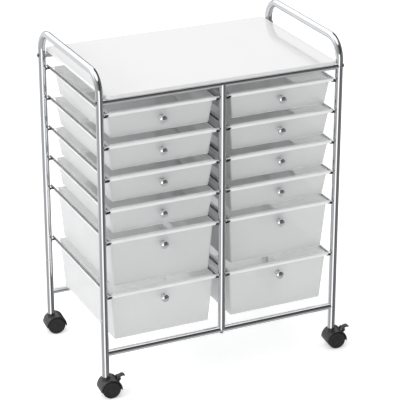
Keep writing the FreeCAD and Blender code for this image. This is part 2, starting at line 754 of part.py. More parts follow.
def make_pins(corner, x, y):
    """The steel of one caster: its stem with a tail in the hood, and its axle."""
    name = f"caster_pins_{corner}"
    stem = new_body(f"{name}_stem")
    section = new_sketch(stem, f"{name}_stem_section", "XZ_Plane")
    top = leg_foot + stem_reach - stem_gap
    outline(section, [
        (ZERO, hood_top - stem_tail),
        (stem_tail_dia / 2, hood_top - stem_tail),
        (stem_tail_dia / 2, hood_top),
        (stem_dia / 2, hood_top),
        (stem_dia / 2, top - stem_dia / 4),
        (stem_dia / 4, top),
        (ZERO, top),
    ])
    revolve(stem, section, "V_Axis")
    on_caster(stem, x, y)
    axle = new_body(f"{name}_axle")
    section = new_sketch(axle, f"{name}_axle_section", "XZ_Plane")
    circle(section, trail, wheel_radius, axle_dia)
    extrude(axle, "Pad", section, caster_width - (wheel_cap + wheel_gap) * 2, "Symmetric")
    on_caster(axle, x, y)
    group(name, [stem, axle])


def make_wheel(name, x, y, sign):
    """One wheel of a pair: a rounded tread, a dished outer face and a blind bore for the axle."""
    body = new_body(name)
    section = new_sketch(body, f"{name}_section", "YZ_Plane", along_y=wheel_radius, along_normal=trail)
    inner = web_width / 2 + wheel_gap
    outer = inner + wheel_width
    bore = axle_dia / 2 + wheel_bore_gap
    corner = wheel_tread_round / 2
    rim = wheel_radius - wheel_tread_round * 1.5
    profile = [
        (inner, bore),
        (inner, wheel_radius - corner, corner, -1),
        (inner + corner, wheel_radius),
        (outer - wheel_tread_round, wheel_radius, wheel_tread_round, -1),
        (outer, wheel_radius - wheel_tread_round),
        (outer, rim),
        (outer - wheel_dish, rim - wheel_dish / 2),
        (outer - wheel_dish, ZERO),
        (outer - wheel_cap, ZERO),
        (outer - wheel_cap, bore),
    ]
    if sign < 0:
        profile = [mirrored(corner_) for corner_ in profile]
    outline(section, profile)
    revolve(body, section, "H_Axis")
    node(on_caster(body, x, y), name)


def mirrored(corner):
    """A corner of an outline on the other side of the sketch's vertical axis."""
    if len(corner) == 2:
        return -corner[0], corner[1]
    return -corner[0], corner[1], corner[2], -corner[3]


def make_lever(corner, x, y):
    """The brake lever: a hub on the hood's pin and an arm that rises and bends outward."""
    name = f"brake_lever_{corner}"
    body = new_body(name)
    pivot_x, pivot_z = lever_pivot()
    tip_x, tip_z = polar(lever_length, LEVER_RISE)
    side_x, side_z = polar(lever_thickness / 2, LEVER_RISE + 90)
    hub = new_sketch(body, f"{name}_hub", "XZ_Plane")
    circle(hub, pivot_x, pivot_z, lever_hub_dia)
    extrude(body, "Pad", hub, lever_width, "Symmetric")
    arm = new_sketch(body, f"{name}_arm", "XZ_Plane")
    outline(arm, [
        (pivot_x - side_x, pivot_z - side_z, lever_sweep, -1),
        (pivot_x + tip_x - side_x, pivot_z + tip_z - side_z, lever_thickness / 2 + weld_depth, 1),
        (pivot_x + tip_x + side_x, pivot_z + tip_z + side_z, lever_sweep, 1),
        (pivot_x + side_x, pivot_z + side_z),
    ])
    extrude(body, "Pad", arm, lever_width, "Symmetric")
    bore = new_sketch(body, f"{name}_bore", "XZ_Plane")
    circle(bore, pivot_x, pivot_z, lever_pin_dia + lever_pin_gap * 2)
    extrude(body, "Pocket", bore, lever_width * 2, "Symmetric")
    node(on_caster(body, x, y), name)


def build_frame():
    make_hoop("left_side_hoop", -leg_x)
    make_hoop("right_side_hoop", leg_x)
    legs = [make_lower_leg(f"lower_leg_{corner}", x, y) for corner, x, y in CORNERS]
    group("lower_legs", legs)
    for place_name, y in (("front", -leg_y), ("rear", leg_y)):
        make_crossbar(f"top_{place_name}_crossbar", y, top_bar_height, False)
        make_crossbar(f"bottom_{place_name}_crossbar", y, bottom_bar_height, True)
        make_post(f"centre_{place_name}_post", y)
    make_board()

    bolts = []
    reach = tube_dia + bolt_grip
    turn_axis = FreeCAD.Vector(0, 1, 0)
    for corner, x, y in CORNERS:
        sign = 1 if x.value > 0 else -1
        head_x = x + tube_radius * sign
        bolts.append(make_bolt(f"bolt_{corner}", reach, head_x, y, top_bar_height, turn_axis, -90 * sign))
    group("crossbar_bolts", bolts)
    screws = []
    for place_name, y in (("front", -leg_y), ("rear", leg_y)):
        seat = bottom_bar_height - bar_radius
        name = f"post_screw_{place_name}"
        screws.append(make_bolt(name, bar_dia + bolt_grip, ZERO, y, seat, FreeCAD.Vector(0, 0, 1), 0))
    group("post_screws", screws)


def build_runners():
    """Rods on the inner sides of both hoops, and on both sides of the centre posts."""
    sides = [
        ("left_runners", [("outer", -leg_x + runner_inset, 0)]),
        ("centre_runners", [("left", -runner_inset, 180), ("right", runner_inset, 0)]),
        ("right_runners", [("outer", leg_x - runner_inset, 180)]),
    ]
    for label, rods in sides:
        pieces = []
        for side, x, degrees in rods:
            for row, height, rim in ROWS:
                pieces.append(make_runner(f"{label}_{side}_{row}", x, rim, degrees))
        group(label, pieces)


def build_drawers():
    for column, x in COLUMNS:
        for row, height, rim in ROWS:
            make_drawer(f"drawer_{column}_{row}", x, rim, height)


def build_casters():
    group("caster_sockets", [make_socket(f"socket_{corner}", x, y) for corner, x, y in CORNERS])
    for corner, x, y in CORNERS:
        braked = corner.startswith("front")
        make_hood(corner, x, y, braked)
        make_pins(corner, x, y)
        make_wheel(f"wheel_a_{corner}", x, y, -1)
        make_wheel(f"wheel_b_{corner}", x, y, 1)
        if braked:
            make_lever(corner, x, y)


def check_document():
    """Stop if a feature failed, a cut removed nothing or a piece isn't a sound solid."""
    for item in doc.Objects:
        if "Invalid" in item.State or "Error" in item.State:
            raise RuntimeError(f"{item.Name} failed: {item.State}")
        if item.TypeId in ("PartDesign::Pocket", "PartDesign::SubtractiveLoft"):
            removed = item.BaseFeature.Shape.Volume - item.Shape.Volume
            if removed < 1:
                raise RuntimeError(f"{item.Name} cuts nothing")
    for item in nodes:
        if item.Shape.isNull() or not item.Shape.isValid() or not item.Shape.Solids:
            raise RuntimeError(f"{item.Label} isn't a sound solid")


build_frame()
build_runners()
build_drawers()
build_casters()
doc.recompute()
check_document()

os.makedirs("parts", exist_ok=True)
for item in nodes:
    item.Shape.exportStep(f"parts/{item.Label}.step")
print(f"{len(nodes)} nodes, {sum(len(item.Shape.Solids) for item in nodes)} solids")
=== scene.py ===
"""Looks of a rolling drawer cart: chromed tube, frosted drawers, a glossy white top and black casters."""

import math

import bmesh
import bpy
from bpy.props import FloatProperty, FloatVectorProperty, IntProperty, PointerProperty
from mathutils import Matrix, Vector


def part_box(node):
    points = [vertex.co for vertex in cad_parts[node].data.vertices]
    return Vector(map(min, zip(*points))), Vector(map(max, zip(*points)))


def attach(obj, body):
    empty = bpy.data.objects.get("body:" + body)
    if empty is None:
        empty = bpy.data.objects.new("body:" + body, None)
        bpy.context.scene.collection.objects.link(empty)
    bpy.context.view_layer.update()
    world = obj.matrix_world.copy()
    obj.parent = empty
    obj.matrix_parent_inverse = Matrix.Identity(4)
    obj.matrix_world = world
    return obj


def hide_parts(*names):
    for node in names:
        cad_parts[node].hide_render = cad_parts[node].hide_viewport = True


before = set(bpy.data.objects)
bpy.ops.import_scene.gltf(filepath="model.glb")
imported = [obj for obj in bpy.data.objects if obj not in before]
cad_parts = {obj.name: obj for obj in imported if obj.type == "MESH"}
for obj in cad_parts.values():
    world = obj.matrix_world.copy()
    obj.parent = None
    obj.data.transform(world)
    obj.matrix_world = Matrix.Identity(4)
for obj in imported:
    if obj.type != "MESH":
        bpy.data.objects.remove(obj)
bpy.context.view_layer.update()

bl_info = {
    "name": "Rolling Drawer Cart",
    "version": (1, 0, 0),
    "blender": (4, 5, 0),
    "location": "View3D > Sidebar > Cart",
    "description": "Dresses the frame, drawers and casters of a rolling drawer cart",
    "category": "Add Mesh",
}

X_AXIS = Vector((1, 0, 0))
Y_AXIS = Vector((0, 1, 0))
Z_AXIS = Vector((0, 0, 1))
# Lays the axis of a turned profile along Y
ACROSS = Matrix.Rotation(math.radians(-90), 4, "X")
# Radius of the points that stand for a turned profile's axis
ON_AXIS = 0.0001
# Range of a noise in which its colour, or its roughness, runs from one end to the other
NOISE_LOW = 0.3
NOISE_HIGH = 0.7

# Where the frame's tubes stand
HOOP_LOW, HOOP_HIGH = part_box("right_side_hoop")
TUBE_RADIUS = (HOOP_HIGH.x - HOOP_LOW.x) / 2
LEG_X = HOOP_LOW.x + TUBE_RADIUS
LEG_Y = HOOP_HIGH.y - TUBE_RADIUS
LEG_JOINT = HOOP_LOW.z
HANDLE_Z = HOOP_HIGH.z - TUBE_RADIUS
LEG_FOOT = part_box("lower_legs")[0].z
BAR_LOW, BAR_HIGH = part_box("top_front_crossbar")
BAR_RADIUS = (BAR_HIGH.z - BAR_LOW.z) / 2
TOP_BAR_Z = BAR_LOW.z + BAR_RADIUS
BOTTOM_BAR_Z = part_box("bottom_front_crossbar")[0].z + BAR_RADIUS
BOARD_LOW, BOARD_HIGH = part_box("top_board")

# Pin joint of a brake lever, and the hub of a hood's web round the axle
PIN_RADIUS = 0.0015
LEVER_BORE = 0.0018
LEVER_HUB = 0.004
EAR_PLAY = 0.0004
WEB_HUB = 0.009

ROWS = ("1", "2", "3", "4", "5", "6")
DRAWERS = [(column, row) for column in ("left", "right") for row in ROWS]
CORNERS = ("front_left", "front_right", "rear_left", "rear_right")

# Grey cards round the cart, as (place from 0 to 1, level). Round the cart, 0.5 faces its front-left
# corner and rising places run to its right; upright, 0.5 is eye level. The gloss mirrors low cards, high
# cards, a floor and a ceiling, and the shares say where one takes over from another. The soft cards light
# what is matt.
CARD_HEADING = math.radians(114.5)
LOW_CARDS = (
    (0.0, 0.04), (0.03, 0.06), (0.07, 0.8), (0.17, 0.8), (0.24, 0.42), (0.435, 0.45), (0.455, 1.4),
    (0.545, 1.4), (0.56, 0.13), (0.69, 0.13), (0.72, 0.24), (0.8, 0.2), (0.86, 0.03), (1.0, 0.03),
)
HIGH_CARDS = (
    (0.0, 1.2), (0.04, 1.2), (0.25, 1.2), (0.33, 0.5), (0.45, 0.3), (0.6, 0.06), (0.72, 0.05), (0.8, 0.2),
    (0.88, 0.04), (0.955, 0.04), (0.97, 1.2), (1.0, 1.2),
)
SOFT_CARDS = (
    (0.0, 0.85), (0.068, 0.85), (0.318, 1.25), (0.48, 1.25), (0.6, 0.25), (0.72, 0.25), (0.818, 0.5),
    (1.0, 0.85),
)
HIGH_SHARE = ((0.59, 0.0), (0.61, 1.0))
FLOOR_AND_CEILING = ((0.2, 0.5), (0.9, 1.2))
END_SHARE = ((0.235, 1.0), (0.265, 0.0), (0.9, 0.0), (0.925, 1.0))


def length_setting(name, description, default, least):
    """A length that a user may change."""
    return FloatProperty(name=name, description=description, default=default, min=least, unit="LENGTH")


def angle_setting(name, description, degrees):
    """An angle that a user may change."""
    return FloatProperty(name=name, description=description, default=math.radians(degrees), subtype="ANGLE")


def colour_setting(name, description, default):
    """A colour that a user may change."""
    return FloatVectorProperty(
        name=name, description=description, default=default, subtype="COLOR", min=0, max=1
    )


class FrameLook(bpy.types.PropertyGroup):
    """Sizes and tint of the chromed tube frame"""

    handle_bend: length_setting("Handle bend", "Bend radius of a handle at the tube's axis", 0.05, 0.02)
    tube_wall: length_setting("Tube wall", "Wall of the legs and handles", 0.0012, 0.0005)
    edge_break: length_setting("Edge break", "Chamfer on the end of a tube", 0.0005, 0.0001)
    runner_radius: length_setting("Runner radius", "Radius of a runner rod", 0.003, 0.001)
    peg_radius: length_setting("Peg radius", "Radius of a peg under a rod", 0.0025, 0.001)
    around: IntProperty(name="Facets", description="Facets round a tube", default=48, min=16)
    chrome: colour_setting("Chrome", "Tint of the chrome plate", (0.83, 0.84, 0.86))
    # The wire tint is much darker than the chrome as painted shade: it stands in for the shaded gaps between
    # the drawers that the rods mirror
    wire: colour_setting("Wire", "Tint of the plated runners", (0.18, 0.18, 0.19))
    zinc: colour_setting("Zinc", "Tint of the plated bolts", (0.42, 0.42, 0.44))


class BoardLook(bpy.types.PropertyGroup):
    """Edges and colour of the top board"""

    corner: length_setting("Corner", "Corner radius of the board", 0.012, 0.002)
    edge: length_setting("Edge", "Rounding of the board's edges", 0.0012, 0.0003)
    laminate: colour_setting("Laminate", "Colour of the glossy laminate", (0.77, 0.77, 0.775))


class DrawerLook(bpy.types.PropertyGroup):
    """Sizes of the moulded drawers and their plastic"""

    flange_width: length_setting("Flange", "Rim beyond the tub's front and sides", 0.011, 0.004)
    rear_flange: length_setting("Rear flange", "Rim beyond the tub's rear wall", 0.002, 0.001)
    flange_thickness: length_setting("Flange thickness", "Thickness of the flange", 0.0022, 0.001)
    lip_height: length_setting("Lip height", "Turned-down lip, from the rim's top", 0.0075, 0.004)
    lip_clear: length_setting("Clear lip", "Clear part of a side lip, from the rim's top", 0.0046, 0.003)
    lip_thickness: length_setting("Lip thickness", "Thickness of the lip", 0.0018, 0.001)
    channel: length_setting("Channel", "Side lip and the room for a rod inside it", 0.0098, 0.004)
    rim_corner: length_setting("Rim corner", "Corner radius of the rim", 0.006, 0.003)
    tub_corner: length_setting("Tub corner", "Corner radius of the tub", 0.0045, 0.003)
    wall: length_setting("Wall", "Wall of the tub", 0.002, 0.001)
    floor: length_setting("Floor", "Floor of the tub", 0.0024, 0.001)
    floor_round: length_setting("Floor edge", "Rounding of the floor's outer edge", 0.003, 0.001)
    side_taper: length_setting("Side taper", "Lean of a side wall, rim to floor", 0.0095, 0)
    end_taper: length_setting("End taper", "Lean of a front wall, rim to floor", 0.0095, 0)
    knob_drop: length_setting("Knob drop", "Rim to a knob's axis", 0.0334, 0.01)
    plastic: colour_setting("Plastic", "Tint of the frosted plastic", (0.86, 0.865, 0.87))
    edges: colour_setting("Edges", "Tint of the thicker lips and bottom edges", (0.96, 0.965, 0.97))


class CasterLook(bpy.types.PropertyGroup):
    """Sizes of the casters and the colour of their plastic"""

    turn: angle_setting("Turn", "Direction of the casters, from +X", -5)
    trail: length_setting("Trail", "Swivel axis to axle", 0.0099, 0)
    wheel_radius: length_setting("Wheel radius", "Radius of a wheel", 0.023, 0.01)
    wheel_width: length_setting("Wheel width", "Width of one wheel", 0.0174, 0.004)
    wheel_gap: length_setting("Wheel gap", "Wheel to web", 0.0006, 0.0001)
    web: length_setting("Web", "Web of the hood between the wheels", 0.007, 0.002)
    hood_gap: length_setting("Hood gap", "Tread to hood", 0.0013, 0.0005)
    hood_wall: length_setting("Hood wall", "Wall of the hood", 0.0026, 0.001)
    hood_drop: length_setting("Hood drop", "Lower edges of the hood below the axle", 0.0023, 0)
    boss_radius: length_setting("Boss radius", "Boss round the stem", 0.01, 0.006)
    lever_angle: angle_setting("Lever angle", "Bearing of a lever's pivot about the axle", 46)
    lever_rise: angle_setting("Lever rise", "Slope of a lever from pivot to tip", 17)
    lever_stand: length_setting("Lever stand", "Lever pivot outside the hood", 0.005, 0.002)
    lever_length: length_setting("Lever length", "Lever, pivot to tip", 0.0158, 0.006)
    lever_sweep: length_setting("Lever sweep", "Bend radius of a lever's arm", 0.0101, 0.008)
    lever_width: length_setting("Lever width", "Width of a lever", 0.014, 0.004)
    lever_thickness: length_setting("Lever thickness", "Thickness of a lever's arm", 0.0032, 0.001)
    ear: length_setting("Ear", "One ear beside a lever", 0.0024, 0.001)
    moulding: colour_setting("Moulding", "Colour of the black hoods", (0.04, 0.04, 0.042))
    tread: colour_setting("Tread", "Colour of the black wheels", (0.022, 0.022, 0.023))


class StageLook(bpy.types.PropertyGroup):
    """Floor, light and camera"""

    floor: colour_setting("Floor", "Colour of the floor", (0.93, 0.93, 0.93))
    lens: FloatProperty(name="Lens", description="Focal length", default=163.37, min=10, unit="CAMERA")
    camera_place: FloatVectorProperty(
        name="Camera", description="Place of the camera", default=(-1.7361, -3.8149, 2.1790),
        subtype="TRANSLATION",
    )
    camera_turn: angle_setting("Heading", "Heading of the camera about Z", -24.829)
    camera_fall: angle_setting("Fall", "Downward tilt of the camera", 23.109)


class CartLooks(bpy.types.PropertyGroup):
    """Everything that a user would change on the cart"""

    tubes: PointerProperty(type=FrameLook)
    board: PointerProperty(type=BoardLook)
    drawers: PointerProperty(type=DrawerLook)
    casters: PointerProperty(type=CasterLook)
    stage: PointerProperty(type=StageLook)


class MeshParts:
    """Gathers closed shells that end up in one mesh."""

    def __init__(self):
        self.points = []
        self.faces = []

    def shell(self, rings, capped=True, turned=None):
        """Join rings of equal length by quads.

        The two ends are closed or, uncapped, the last ring is joined to the first.
        """
        first = len(self.points)
        count = len(rings[0])
        for ring in rings:
            self.points.extend(turned @ point if turned else point for point in ring)
        steps = len(rings) - 1 if capped else len(rings)
        for step in range(steps):
            low = first + step * count
            high = first + (step + 1) % len(rings) * count
            for index in range(count):
                after = (index + 1) % count
                self.faces.append((low + index, low + after, high + after, high + index))
        if capped:
            last = first + (len(rings) - 1) * count
            self.faces.append(tuple(reversed(range(first, first + count))))
            self.faces.append(tuple(range(last, last + count)))

    def finish(self, name, material, body, nodes, sharp=40):
        """Make the object, with outward normals and smooth faces between sharp edges."""
        mesh = bpy.data.meshes.new(name)
        mesh.from_pydata(self.points, [], self.faces)
        shells = bmesh.new()
        shells.from_mesh(mesh)
        bmesh.ops.recalc_face_normals(shells, faces=shells.faces)
        shells.to_mesh(mesh)
        shells.free()
        mesh.shade_smooth()
        mesh.set_sharp_from_angle(angle=math.radians(sharp))
        mesh.materials.append(material)
        piece = bpy.data.objects.new(name, mesh)
        bpy.context.scene.collection.objects.link(piece)
        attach(piece, body)
        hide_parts(*nodes)
        return piece


def one_shell(rings, name, material, body, node, capped=True, turned=None, sharp=40):
    """A piece of one shell in the place of one CAD node."""
    parts = MeshParts()
    parts.shell(rings, capped, turned)
    return parts.finish(name, material, body, [node], sharp)


def round_ring(centre, side, up, radius, count):
    """Points of a circle in the plane of two unit axes."""
    ring = []
    for index in range(count):
        angle = 2 * math.pi * index / count
        ring.append(centre + side * (radius * math.cos(angle)) + up * (radius * math.sin(angle)))
    return ring


def turned_rings(profile, count, place):
    """Rings of a profile of (radius, height) turned about the local Z of a placement."""
    rings = []
    for radius, height in profile:
        ring = round_ring(Vector((0, 0, height)), X_AXIS, Y_AXIS, radius, count)
        rings.append([place @ point for point in ring])
    return rings


def arc_profile(centre, radius, start, stop, steps):
    """Points of an arc in a profile, by angles in degrees."""
    points = []
    for step in range(steps + 1):
        angle = math.radians(start + (stop - start) * step / steps)
        points.append((centre[0] + radius * math.cos(angle), centre[1] + radius * math.sin(angle)))
    return points


def box_ring(width, depth, corner, height, side_marks=(), front_marks=()):
    """A rectangle with round corners, seen from above, with extra points on its sides and its front."""
    half_x = width / 2
    half_y = depth / 2
    least_corner = 0.0003
    corner_steps = 7
    corner = max(corner, least_corner)
    quarters = [
        (half_x - corner, half_y - corner, 0),
        (-half_x + corner, half_y - corner, 90),
        (-half_x + corner, -half_y + corner, 180),
        (half_x - corner, -half_y + corner, 270),
    ]
    along_side = spread_marks(side_marks, half_y - corner)
    along_front = spread_marks(front_marks, half_x - corner)
    between = [
        [],
        [Vector((-half_x, mark, height)) for mark in reversed(along_side)],
        [Vector((mark, -half_y, height)) for mark in along_front],
        [Vector((half_x, mark, height)) for mark in along_side],
    ]
    ring = []
    for (x, y, start), marks in zip(quarters, between):
        arc = arc_profile((x, y), corner, start, start + 90, corner_steps)
        ring.extend(Vector((px, py, height)) for px, py in arc)
        ring.extend(marks)
    return ring


def spread_marks(marks, limit):
    """Rising marks, kept in order between the two ends of an edge."""
    step = 0.0004
    spread = []
    for rank, mark in enumerate(marks):
        least = -limit + step * (rank + 1)
        most = limit - step * (len(marks) - rank)
        spread.append(max(least, min(most, mark)))
    return spread


def add_node(tree, kind, place, links=(), **settings):
    """Put a shader node in a tree.

    Settings are node attributes or input values, and links are pairs of an input and its source.
    """
    item = tree.nodes.new(kind)
    item.location = place
    for key, value in settings.items():
        if key in item.inputs:
            item.inputs[key].default_value = value
        else:
            setattr(item, key, value)
    for key, source in links:
        tree.links.new(source, item.inputs[key])
    return item


def new_material(name, values):
    """A new material, its node tree and its principled shader with the values of some inputs."""
    material = bpy.data.materials.new(name)
    material.use_nodes = True
    shader = material.node_tree.nodes["Principled BSDF"]
    for key, value in values.items():
        shader.inputs[key].default_value = value
    return material, material.node_tree, shader


def noise(tree, place, scale, detail=4.0):
    """Noise in object space."""
    coordinates = add_node(tree, "ShaderNodeTexCoord", (place[0] - 200, place[1]))
    links = [("Vector", coordinates.outputs["Object"])]
    return add_node(tree, "ShaderNodeTexNoise", place, links, Scale=scale, Detail=detail).outputs["Fac"]


def map_range(tree, place, source, old, new=(0.0, 1.0)):
    """Map a number from one range to another."""
    item = add_node(tree, "ShaderNodeMapRange", place, [("Value", source)])
    for key, value in zip(("From Min", "From Max", "To Min", "To Max"), (*old, *new)):
        item.inputs[key].default_value = value
    return item.outputs["Result"]


def mottle(tree, place, source, colour, dark):
    """A colour that follows a noise, from a share of itself to itself."""
    item = add_node(tree, "ShaderNodeValToRGB", place, [("Fac", source)])
    first, last = item.color_ramp.elements
    first.position = NOISE_LOW
    first.color = [channel * dark for channel in colour] + [1]
    last.position = NOISE_HIGH
    last.color = list(colour) + [1]
    return item.outputs["Color"]


def surface(name, colour, cloud, grain, relief, values):
    """A finish whose colour, roughness and relief each follow a noise.

    The cloud is (scale, darkest share of the colour), the grain (scale, least and most roughness) and the
    relief (scale, detail, strength, depth). Values are those of the shader's other inputs.
    """
    material, tree, shader = new_material(name, values)
    cloud_scale, dark = cloud
    mottled = mottle(tree, (-400, 200), noise(tree, (-600, 200), cloud_scale), colour, dark)
    tree.links.new(mottled, shader.inputs["Base Color"])
    grain_scale, *roughness = grain
    source = noise(tree, (-600, -50), grain_scale)
    varied = map_range(tree, (-400, -50), source, (NOISE_LOW, NOISE_HIGH), roughness)
    tree.links.new(varied, shader.inputs["Roughness"])
    relief_scale, detail, strength, depth = relief
    links = [("Height", noise(tree, (-600, -300), relief_scale, detail))]
    bump = add_node(tree, "ShaderNodeBump", (-400, -300), links, Strength=strength, Distance=depth)
    tree.links.new(bump.outputs["Normal"], shader.inputs["Normal"])
    return material


def chrome_plate(colour, name="chrome_plate"):
    """Bright chrome with the faint orange peel of plated tube."""
    return surface(
        name, colour, (14.0, 0.96), (60.0, 0.02, 0.04), (260.0, 2.0, 0.04, 0.0002), {"Metallic": 1.0}
    )


def runner_wire_painted_shade(colour):
    """The same plate on drawn wire, given a darker tint as painted shade for the shaded gaps between the
    drawers that the rods mirror.
    """
    return chrome_plate(colour, "runner_wire_painted_shade")


def zinc_plate(colour):
    """Dull plated steel of the bolts, pins and screws."""
    return surface(
        "zinc_plate", colour, (90.0, 0.75), (300.0, 0.28, 0.45), (300.0, 4.0, 0.08, 0.0001), {"Metallic": 1.0}
    )


def white_laminate(colour):
    """Glossy white board with a hard clear face."""
    values = {"Specular IOR Level": 0.25, "Coat Weight": 0.5, "Coat Roughness": 0.04}
    return surface(
        "white_laminate", colour, (6.0, 0.985), (40.0, 0.12, 0.2), (30.0, 2.0, 0.02, 0.0004), values
    )


def frosted_plastic(colour, name="frosted_wall", opacity=0.56):
    """Milky polypropylene with a fine satin grain, which lets light through."""
    values = {"Alpha": opacity, "Transmission Weight": 0.1, "IOR": 1.3, "Specular IOR Level": 0.6}
    return surface(name, colour, (9.0, 0.97), (120.0, 0.42, 0.52), (1100.0, 3.0, 0.06, 0.0002), values)


def frosted_edge(colour):
    """The same plastic where it is thick: lips and bottom edges look milkier than walls."""
    return frosted_plastic(colour, "frosted_edge", 0.8)


def clear_flange(colour):
    """The same plastic where the rods show through it: side flanges and the upper part of their lips."""
    return frosted_plastic(colour, "clear_flange", 0.1)


def black_moulding(colour):
    """Moulded black nylon with a light spark-eroded grain."""
    return surface(
        "black_moulding", colour, (120.0, 0.7), (900.0, 0.32, 0.46), (900.0, 4.0, 0.12, 0.0001), {}
    )


def black_tread(colour):
    """Hard black wheel plastic, duller than the hoods."""
    return surface("wheel_nylon", colour, (200.0, 0.6), (500.0, 0.4, 0.6), (500.0, 4.0, 0.15, 0.0001), {})


def finish_named(name, maker, colour):
    """The shared material of a finish, made at its first use."""
    return bpy.data.materials.get(name) or maker(list(colour))


def dress(node, material, sharp=35):
    """Give a CAD node that keeps its own shape a finish and smooth faces between sharp edges."""
    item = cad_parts[node]
    item.data.materials.clear()
    item.data.materials.append(material)
    for face in item.data.polygons:
        face.use_smooth = True
    item.data.set_sharp_from_angle(angle=math.radians(sharp))


class CART_OT_tube_frame(bpy.types.Operator):
    """Make the hoops, legs, crossbars and posts of chromed tube"""

    bl_idname = "cart.tube_frame"
    bl_label = "Tube Frame"

    def execute(self, context):
        look = context.scene.cart_looks.tubes
        chrome = finish_named("chrome_plate", chrome_plate, look.chrome)
        for side, x in (("left", -LEG_X), ("right", LEG_X)):
            rings = hoop_rings(look, x)
            one_shell(
                rings, f"{side}_hoop_tube", chrome, "frame", f"{side}_side_hoop", capped=False
            )
        parts = MeshParts()
        for x in (-LEG_X, LEG_X):
            for y in (-LEG_Y, LEG_Y):
                parts.shell(leg_rings(look, x, y), capped=False)
        parts.finish("lower_leg_tubes", chrome, "frame", ["lower_legs"])
        for place, y in (("front", -LEG_Y), ("rear", LEG_Y)):
            for level, z in (("top", TOP_BAR_Z), ("bottom", BOTTOM_BAR_Z)):
                rings = crossbar_rings(look, y, z)
                name = f"{level}_{place}"
                one_shell(rings, f"{name}_bar_tube", chrome, "frame", f"{name}_crossbar")
            rings = post_rings(look, y)
            one_shell(rings, f"{place}_post_tube", chrome, "frame", f"centre_{place}_post")
        return {"FINISHED"}


def hoop_rings(look, x):
    """The outside of a bent tube from its front end to its rear end, then its bore back again."""
    bend = look.handle_bend
    shoulder = HANDLE_Z - bend
    straight = LEG_Y - bend
    chamfer = look.edge_break
    leg_steps = 9
    bend_steps = 20
    handle_steps = 6
    # The tube's axis, as (spot, slope in degrees, inset of the outside)
    front = [
        (Vector((x, -LEG_Y, LEG_JOINT)), 90.0, chamfer),
        (Vector((x, -LEG_Y, LEG_JOINT + chamfer)), 90.0, 0.0),
    ]
    for step in range(1, leg_steps):
        height = LEG_JOINT + chamfer + (shoulder - LEG_JOINT - chamfer) * step / leg_steps
        front.append((Vector((x, -LEG_Y, height)), 90.0, 0.0))
    for step in range(bend_steps + 1):
        angle = 90.0 * step / bend_steps
        turn = math.radians(180 - angle)
        spot = Vector((x, -straight + bend * math.cos(turn), shoulder + bend * math.sin(turn)))
        front.append((spot, 90.0 - angle, 0.0))
    handle = []
    for step in range(1, handle_steps):
        handle.append((Vector((x, -straight + 2 * straight * step / handle_steps, HANDLE_Z)), 0.0, 0.0))
    rear = [(Vector((x, -spot.y, spot.z)), -angle, inset) for spot, angle, inset in reversed(front)]
    outside = []
    bore = []
    for spot, angle, inset in front + handle + rear:
        slope = math.radians(angle)
        up = Vector((0, -math.sin(slope), math.cos(slope)))
        outside.append(round_ring(spot, X_AXIS, up, TUBE_RADIUS - inset, look.around))
        bore.append(round_ring(spot, X_AXIS, up, TUBE_RADIUS - look.tube_wall, look.around))
    return outside + list(reversed(bore))


def leg_rings(look, x, y):
    """A lower leg: tube to the joint, then a neck inside the upper leg."""
    chamfer = look.edge_break
    play = 0.0001
    bore = TUBE_RADIUS - look.tube_wall
    neck = bore - play
    neck_foot = LEG_JOINT - 0.02
    bore_top = LEG_JOINT - 0.022
    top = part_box("lower_legs")[1].z
    profile = [
        (TUBE_RADIUS - chamfer, LEG_FOOT),
        (TUBE_RADIUS, LEG_FOOT + chamfer),
        (TUBE_RADIUS, (LEG_FOOT + LEG_JOINT) / 2),
        (TUBE_RADIUS, LEG_JOINT - chamfer),
        (TUBE_RADIUS - chamfer, LEG_JOINT),
        (neck, LEG_JOINT),
        (neck, top),
        (neck - look.tube_wall, top),
        (neck - look.tube_wall, neck_foot),
        (bore, bore_top),
        (bore, LEG_FOOT),
    ]
    return turned_rings(profile, look.around, Matrix.Translation((x, y, 0)))


def crossbar_rings(look, y, z):
    """A bar between two legs, its ends shaped to the legs' round sides."""
    rings = []
    for share in (-1, -0.5, 0, 0.5, 1):
        ring = round_ring(Vector((0, y, z)), Y_AXIS, Z_AXIS, BAR_RADIUS, look.around)
        for point in ring:
            reach = LEG_X - math.sqrt(TUBE_RADIUS ** 2 - (point.y - y) ** 2)
            point.x = reach * share
        rings.append(ring)
    return rings


def post_rings(look, y):
    """A post between two crossbars, its ends shaped to the bars' round sides."""
    rings = []
    for share in (0, 0.33, 0.67, 1):
        ring = round_ring(Vector((0, y, 0)), X_AXIS, Y_AXIS, TUBE_RADIUS, look.around)
        for point in ring:
            across = min(abs(point.y - y), BAR_RADIUS)
            saddle = math.sqrt(BAR_RADIUS ** 2 - across ** 2)
            low = BOTTOM_BAR_Z + saddle
            high = TOP_BAR_Z - saddle
            point.z = low + (high - low) * share
        rings.append(ring)
    return rings


class CART_OT_runners(bpy.types.Operator):
    """Make the wire runners with their pegs"""

    bl_idname = "cart.runners"
    bl_label = "Runners"

    def execute(self, context):
        look = context.scene.cart_looks.tubes
        wire = finish_named("runner_wire_painted_shade", runner_wire_painted_shade, look.wire)
        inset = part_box("left_runners")[1].x - look.runner_radius + LEG_X
        sides = [
            ("left_runners", "left", [(-LEG_X, 1)]),
            ("centre_runners", "left", [(0.0, -1), (0.0, 1)]),
            ("right_runners", "right", [(LEG_X, -1)]),
        ]
        for node, column, legs in sides:
            end_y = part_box(node)[1].y
            parts = MeshParts()
            for leg_x, sign in legs:
                for row in ROWS:
                    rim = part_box(f"drawer_{column}_{row}")[1].z
                    runner_shells(parts, look, leg_x, sign, inset, end_y, rim)
            parts.finish(f"{node}_wire", wire, "frame", [node])
        return {"FINISHED"}


